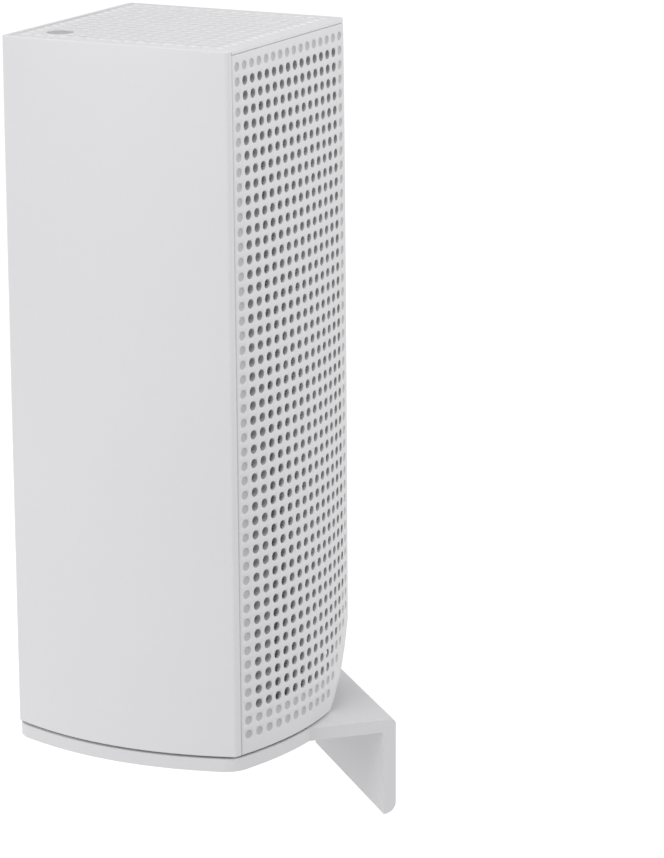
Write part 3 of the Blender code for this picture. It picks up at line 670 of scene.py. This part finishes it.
def make_window(mats):
    """The round light window: a shallow dome with a rolled rim on a stepped stem."""
    low, high = LENS_STEM_Z
    profile = [(LENS_TIP_R, low), (LENS_STEM_R, low), (LENS_STEM_R, high), (LENS_R, high)]
    profile += [(radius, BODY_H - depth) for radius, depth in LENS_DOME]
    rings = [[(x, LED_Y + y, z) for x, y in circle(radius, LENS_STEPS)] for radius, z in profile]
    window = add_object("light_window", solid("light_window", rings), mats, "node", 35.0)
    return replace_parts(window, "led_lens")


# --- finishes ---------------------------------------------------------------------------------------

class Finish:
    """Builds one procedural material. Texture coordinates are the model's own, in metres."""

    def __init__(self, name, metallic=0.0, specular=0.5, stretch=(1.0, 1.0, 1.0), turn=0.0):
        self.mat = bpy.data.materials.new(name)
        self.mat.use_nodes = True
        self.nodes = self.mat.node_tree.nodes
        self.shader = self.nodes["Principled BSDF"]
        self.shader.inputs["Metallic"].default_value = metallic
        self.shader.inputs["Specular IOR Level"].default_value = specular
        place_at = self.nodes.new("ShaderNodeTexCoord").outputs["Object"]
        mapping = self.nodes.new("ShaderNodeMapping")
        mapping.inputs["Rotation"].default_value = (0.0, 0.0, turn)
        mapping.inputs["Scale"].default_value = stretch
        self.link(place_at, mapping.inputs["Vector"])
        self.coords = mapping.outputs["Vector"]

    def link(self, out, into):
        self.mat.node_tree.links.new(out, into)

    def noise(self, scale, detail=3.0, roughness=0.55):
        node = self.nodes.new("ShaderNodeTexNoise")
        node.inputs["Scale"].default_value = scale
        node.inputs["Detail"].default_value = detail
        node.inputs["Roughness"].default_value = roughness
        self.link(self.coords, node.inputs["Vector"])
        return node.outputs["Fac"]

    def wave(self, scale, direction):
        node = self.nodes.new("ShaderNodeTexWave")
        node.wave_type = "BANDS"
        node.bands_direction = direction
        node.inputs["Scale"].default_value = scale
        self.link(self.coords, node.inputs["Vector"])
        return node.outputs["Fac"]

    def cells(self, scale, distance="EUCLIDEAN", feature="F1"):
        node = self.nodes.new("ShaderNodeTexVoronoi")
        node.feature = feature
        node.distance = distance
        node.inputs["Scale"].default_value = scale
        self.link(self.coords, node.inputs["Vector"])
        return node.outputs["Distance"]

    def maths(self, operation, a, b):
        node = self.nodes.new("ShaderNodeMath")
        node.operation = operation
        for socket, value in zip(node.inputs, (a, b)):
            if isinstance(value, float):
                socket.default_value = value
            else:
                self.link(value, socket)
        return node.outputs["Value"]

    def ramp(self, fac, *stops):
        """A colour ramp through (position, colour) stops."""
        node = self.nodes.new("ShaderNodeValToRGB")
        elements = node.color_ramp.elements
        while len(elements) < len(stops):
            elements.new(0.5)
        for element, (position, colour) in zip(elements, stops):
            element.position = position
            element.color = (*colour, 1.0)
        self.link(fac, node.inputs["Fac"])
        return node.outputs["Color"]

    def colour(self, out):
        self.link(out, self.shader.inputs["Base Color"])

    def rough(self, fac, low, high):
        node = self.nodes.new("ShaderNodeMapRange")
        node.inputs["From Min"].default_value = 0.25
        node.inputs["From Max"].default_value = 0.75
        node.inputs["To Min"].default_value = low
        node.inputs["To Max"].default_value = high
        self.link(fac, node.inputs["Value"])
        self.link(node.outputs["Result"], self.shader.inputs["Roughness"])

    def relief(self, fac, strength, depth):
        """Bump from fac, whose full range stands depth millimetres high."""
        node = self.nodes.new("ShaderNodeBump")
        node.inputs["Strength"].default_value = strength
        node.inputs["Distance"].default_value = depth * MM
        self.link(fac, node.inputs["Height"])
        self.link(node.outputs["Normal"], self.shader.inputs["Normal"])


def tinted(colour, gain):
    return tuple(min(1.0, c * gain) for c in colour)


def grained(name, colour, rough=(0.4, 0.55), vary=0.03, drift=18.0, grain=900.0, relief=0.25,
            depth=0.05, **more):
    """Moulded or cast stuff: slow drift of tone with a fine grain, which also shows as relief."""
    look = Finish(name, **more)
    fine = look.noise(grain, 4.0)
    slow = look.noise(drift, 2.0)
    both = look.maths("ADD", look.maths("MULTIPLY", fine, 0.45), look.maths("MULTIPLY", slow, 0.55))
    look.colour(look.ramp(both, (0.3, tinted(colour, 1.0 - vary)), (0.7, tinted(colour, 1.0 + vary))))
    look.rough(both, *rough)
    look.relief(fine, relief, depth)
    return look.mat


THREADS = 420.0


def woven(name, dark, light):
    """Fine screen cloth: threads both ways, with darker gaps between them."""
    look = Finish(name, turn=math.radians(45.0), specular=0.2)
    upright = look.maths("MULTIPLY", look.wave(THREADS, "X"), look.wave(THREADS, "Y"))
    level = look.wave(THREADS, "Z")
    threads = look.maths("MAXIMUM", upright, level)
    weave = look.maths("MULTIPLY", threads, 0.75)
    uneven = look.maths("ADD", weave, look.maths("MULTIPLY", look.noise(60.0), 0.25))
    look.colour(look.ramp(uneven, (0.15, dark), (0.8, light)))
    look.rough(uneven, 0.7, 0.9)
    look.relief(threads, 0.4, 0.1)
    return look.mat


def printed_board(name, mask, copper):
    """Solder mask over runs of copper, with fine grain."""
    look = Finish(name, specular=0.5)
    runs = look.cells(160.0, "CHEBYCHEV")
    lines = look.maths("GREATER_THAN", look.wave(95.0, "Z"), 0.72)
    pads = look.maths("GREATER_THAN", runs, 0.62)
    faint = look.maths("MULTIPLY", lines, 0.5)
    pattern = look.maths("MAXIMUM", faint, look.maths("MULTIPLY", pads, 0.9))
    plain = look.maths("MULTIPLY", pattern, 0.7)
    mixed = look.maths("ADD", plain, look.maths("MULTIPLY", look.noise(300.0), 0.3))
    look.colour(look.ramp(mixed, (0.1, mask), (0.9, copper)))
    look.rough(mixed, 0.3, 0.5)
    look.relief(pattern, 0.5, 0.05)
    return look.mat


def metal(name, colour, rough, stretch, grain=500.0):
    """Drawn or rolled metal: grain stretched along one axis, with cloudy tone."""
    look = Finish(name, metallic=1.0, stretch=stretch)
    fine = look.noise(grain, 4.0, 0.7)
    slow = look.noise(grain / 15.0, 2.0)
    both = look.maths("ADD", look.maths("MULTIPLY", fine, 0.6), look.maths("MULTIPLY", slow, 0.4))
    look.colour(look.ramp(both, (0.3, tinted(colour, 0.85)), (0.7, tinted(colour, 1.1))))
    look.rough(both, *rough)
    look.relief(fine, 0.25, 0.03)
    return look.mat


def make_finishes():
    white = (0.745, 0.735, 0.75)
    sheet = (0.72, 0.715, 0.73)
    return {
        "shell": grained("moulded_white", white, (0.42, 0.58), 0.012, relief=0.2, depth=0.03),
        # The hole walls are the white moulding darkened to 0.62 of its tone: painted shade inside the holes.
        "tube": grained("hole_wall_painted_shade", tinted(white, 0.62), (0.55, 0.7), 0.05, grain=1200.0),
        # The dimples are the white moulding darkened to 0.68 of its tone: painted shade in the hollows.
        "dimple": grained("dimple_painted_shade", tinted(white, 0.68), (0.5, 0.65), 0.03, grain=1200.0),
        "bracket": grained("sheet_white", sheet, (0.45, 0.6), 0.015, drift=30.0, grain=500.0, relief=0.12,
                           specular=0.25),
        "base": grained("base_white", tinted(white, 0.96), (0.45, 0.6), 0.02),
        "lens": grained("window_grey", (0.42, 0.42, 0.44), (0.18, 0.3), 0.05, drift=250.0, relief=0.06),
        "dark": grained("dark_moulding", (0.03, 0.03, 0.034), (0.45, 0.65), 0.25, grain=700.0),
        "jacket": grained("lead_jacket", (0.035, 0.035, 0.04), (0.35, 0.5), 0.2, grain=400.0),
        "button": grained("button_grey", (0.28, 0.28, 0.3), (0.4, 0.55), 0.06),
        "rubber": grained("foot_rubber", (0.22, 0.22, 0.23), (0.75, 0.9), 0.12, grain=500.0,
                          relief=0.5, specular=0.3),
        "pad": grained("gap_pad", (0.33, 0.38, 0.48), (0.8, 0.95), 0.08, grain=350.0, relief=0.5,
                       specular=0.25),
        "led": grained("led_package", (0.8, 0.79, 0.66), (0.2, 0.35), 0.05, grain=500.0, relief=0.1),
        "screen": woven("screen_cloth", (0.16, 0.16, 0.165), (0.48, 0.48, 0.49)),
        "board": printed_board("solder_mask", (0.012, 0.075, 0.04), (0.06, 0.22, 0.11)),
        "tin": metal("tinned_can", (0.62, 0.62, 0.63), (0.25, 0.42), (1.0, 1.0, 0.2)),
        "steel": metal("zinc_plate", (0.58, 0.58, 0.6), (0.25, 0.4), (1.0, 1.0, 1.0), 700.0),
        "gold": metal("gold_plate", (0.83, 0.62, 0.25), (0.2, 0.32), (1.0, 1.0, 0.3), 700.0),
        "aluminium": metal("extruded_fin", (0.68, 0.69, 0.71), (0.3, 0.48), (1.0, 1.0, 0.06), 600.0),
    }


NODE_FINISHES = {
    "base": ("base_cover",),
    "screen": ("dust_screen",),
    "led": ("status_led",),
    "tin": ("ethernet_jack_1", "ethernet_jack_2", "shield_can_1", "shield_can_2", "shield_can_3"),
    "gold": ("jack_contacts_1", "jack_contacts_2"),
    "steel": ("inlet_pin", "base_screw_", "main_board_screw_", "radio_board_screw_"),
    "dark": ("power_inlet", "power_switch_body", "power_rocker", "reset_switch", "chassis"),
    "button": ("reset_button",),
    "rubber": ("foot_",),
    "jacket": ("antenna_lead_",),
    "board": ("led_board", "main_board", "radio_board", "io_board", "antenna_"),
    "pad": ("thermal_pad_",),
    "aluminium": ("front_heatsink", "rear_heatsink"),
}
SOFT_WIDTHS = {
    0.12: ("ethernet_jack_1", "ethernet_jack_2"),
    0.15: ("foot_1", "foot_2", "foot_3", "foot_4", "io_board", "main_board", "radio_board"),
    0.2: ("thermal_pad_1", "thermal_pad_2"),
    0.25: ("base_cover", "power_inlet", "power_switch_body"),
    0.3: ("power_rocker", "chassis", "shield_can_1", "shield_can_2", "shield_can_3", "status_led"),
}
SOFTENED = {name: width for width, names in SOFT_WIDTHS.items() for name in names}
REPLACED = ("front_shell", "rear_shell", "top_cover", "led_lens", "wall_bracket")


def finish_of(node):
    """The finish for a CAD node: the one whose longest matching name or prefix it has."""
    best = max((prefix, finish) for finish, names in NODE_FINISHES.items() for prefix in names
               if node == prefix or (prefix.endswith("_") and node.startswith(prefix)))
    return best[1]


def dress_nodes(finishes):
    """Gives every CAD node that stays its finish and, where it can be seen, softened edges."""
    for name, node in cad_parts.items():
        if name in REPLACED:
            continue
        mat = finishes[finish_of(name)]
        if not node.material_slots:
            node.data.materials.append(mat)
        for slot in node.material_slots:
            slot.material = mat
        if name in SOFTENED:
            weld = node.modifiers.new("weld", "WELD")
            weld.merge_threshold = 0.01 * MM
            bevel = node.modifiers.new("soft_edges", "BEVEL")
            bevel.width = SOFTENED[name] * MM
            bevel.segments = 2
            bevel.limit_method = "ANGLE"
            bevel.angle_limit = SHARP_ANGLE
            weighted_normals(node)


# --- stage ------------------------------------------------------------------------------------------

CAMERA_PLACE = (880.98, -246.80, 320.87)
CAMERA_AZIMUTH = math.radians(-18.157)
CAMERA_ELEVATION = math.radians(14.943)
CAMERA_ROLL = math.radians(-0.228)
CAMERA_LENS = 148.3
FLOOR_DROP = 0.4  # the floor is well below, as for an object hung on a wall
FLOOR_GLOW = (0.03, 0.65)  # the floor is lit from below on the far side, as a lit white sweep is
GLOW_RUN = (-0.2, 0.7)  # metres away from the camera over which that light comes up
FLOOR_HALF = 6.0
FLOOR_TONES = ((0.3, (0.64, 0.64, 0.64)), (0.7, (0.67, 0.67, 0.67)))
WORLD_STRENGTH = 0.6
LIGHT_AIM = (0.0, -0.05, 0.1)
LIGHTS = (("key", (0.55, -1.58, 0.86), 1.2, 14.0), ("overhead", (0.50, 0.45, 0.80), 0.6, 3.8))


def make_camera():
    data = bpy.data.cameras.new("camera")
    data.lens = CAMERA_LENS
    data.sensor_width = 36.0
    data.clip_start = 0.05
    data.clip_end = 50.0
    camera = bpy.data.objects.new("camera", data)
    bpy.context.scene.collection.objects.link(camera)
    back = Vector((math.cos(CAMERA_ELEVATION) * math.cos(CAMERA_AZIMUTH),
                   math.cos(CAMERA_ELEVATION) * math.sin(CAMERA_AZIMUTH),
                   math.sin(CAMERA_ELEVATION)))
    right = Vector((0.0, 0.0, 1.0)).cross(back).normalized()
    up = back.cross(right)
    turn = Matrix.Rotation(CAMERA_ROLL, 4, back)
    right.rotate(turn)
    up.rotate(turn)
    pointed = Matrix((right, up, back)).transposed().to_4x4()
    camera.matrix_world = Matrix.Translation(place(CAMERA_PLACE)) @ pointed
    bpy.context.scene.camera = camera


def make_floor():
    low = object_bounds()[0].z - FLOOR_DROP
    mesh = bpy.data.meshes.new("floor")
    corners = [(x * FLOOR_HALF, y * FLOOR_HALF, low) for x, y in ((-1, -1), (1, -1), (1, 1), (-1, 1))]
    mesh.from_pydata(corners, [], [(0, 1, 2, 3)])
    floor = bpy.data.objects.new("floor", mesh)
    bpy.context.scene.collection.objects.link(floor)
    look = Finish("floor_white", specular=0.0)
    tone = look.noise(3.0)
    look.colour(look.ramp(tone, *FLOOR_TONES))
    look.rough(tone, 0.85, 0.95)
    look.shader.inputs["Emission Color"].default_value = (1.0, 1.0, 1.0, 1.0)
    glow = look.nodes.new("ShaderNodeVectorMath")
    glow.operation = "DOT_PRODUCT"
    away = (-math.cos(CAMERA_AZIMUTH), -math.sin(CAMERA_AZIMUTH), 0.0)
    glow.inputs[1].default_value = away
    look.link(look.coords, glow.inputs[0])
    fade = look.nodes.new("ShaderNodeMapRange")
    fade.interpolation_type = "SMOOTHSTEP"
    sockets = ("From Min", "From Max", "To Min", "To Max")
    for socket, value in zip(sockets, (*GLOW_RUN, *FLOOR_GLOW)):
        fade.inputs[socket].default_value = value
    look.link(glow.outputs["Value"], fade.inputs["Value"])
    look.link(fade.outputs["Result"], look.shader.inputs["Emission Strength"])
    mesh.materials.append(look.mat)


def area_light(name, location, size, power):
    data = bpy.data.lights.new(name, "AREA")
    data.shape = "SQUARE"
    data.size = size
    data.energy = power
    light = bpy.data.objects.new(name, data)
    bpy.context.scene.collection.objects.link(light)
    light.location = location
    ray = Vector(LIGHT_AIM) - Vector(location)
    light.rotation_euler = ray.to_track_quat("-Z", "Y").to_euler()


def make_light():
    world = bpy.data.worlds.new("studio")
    world.use_nodes = True
    background = world.node_tree.nodes["Background"]
    background.inputs["Color"].default_value = (1.0, 1.0, 1.0, 1.0)
    background.inputs["Strength"].default_value = WORLD_STRENGTH
    bpy.context.scene.world = world
    for light in LIGHTS:
        area_light(*light)
    bpy.context.scene.view_settings.view_transform = "Standard"


finishes = make_finishes()
perforated = [finishes["shell"], finishes["tube"], finishes["dimple"]]
make_front_shell([finishes["shell"]])
make_rear_shell(perforated)
make_top_cover(perforated)
make_bracket([finishes["bracket"]])
make_window([finishes["lens"]])
dress_nodes(finishes)
make_camera()
make_floor()
make_light()
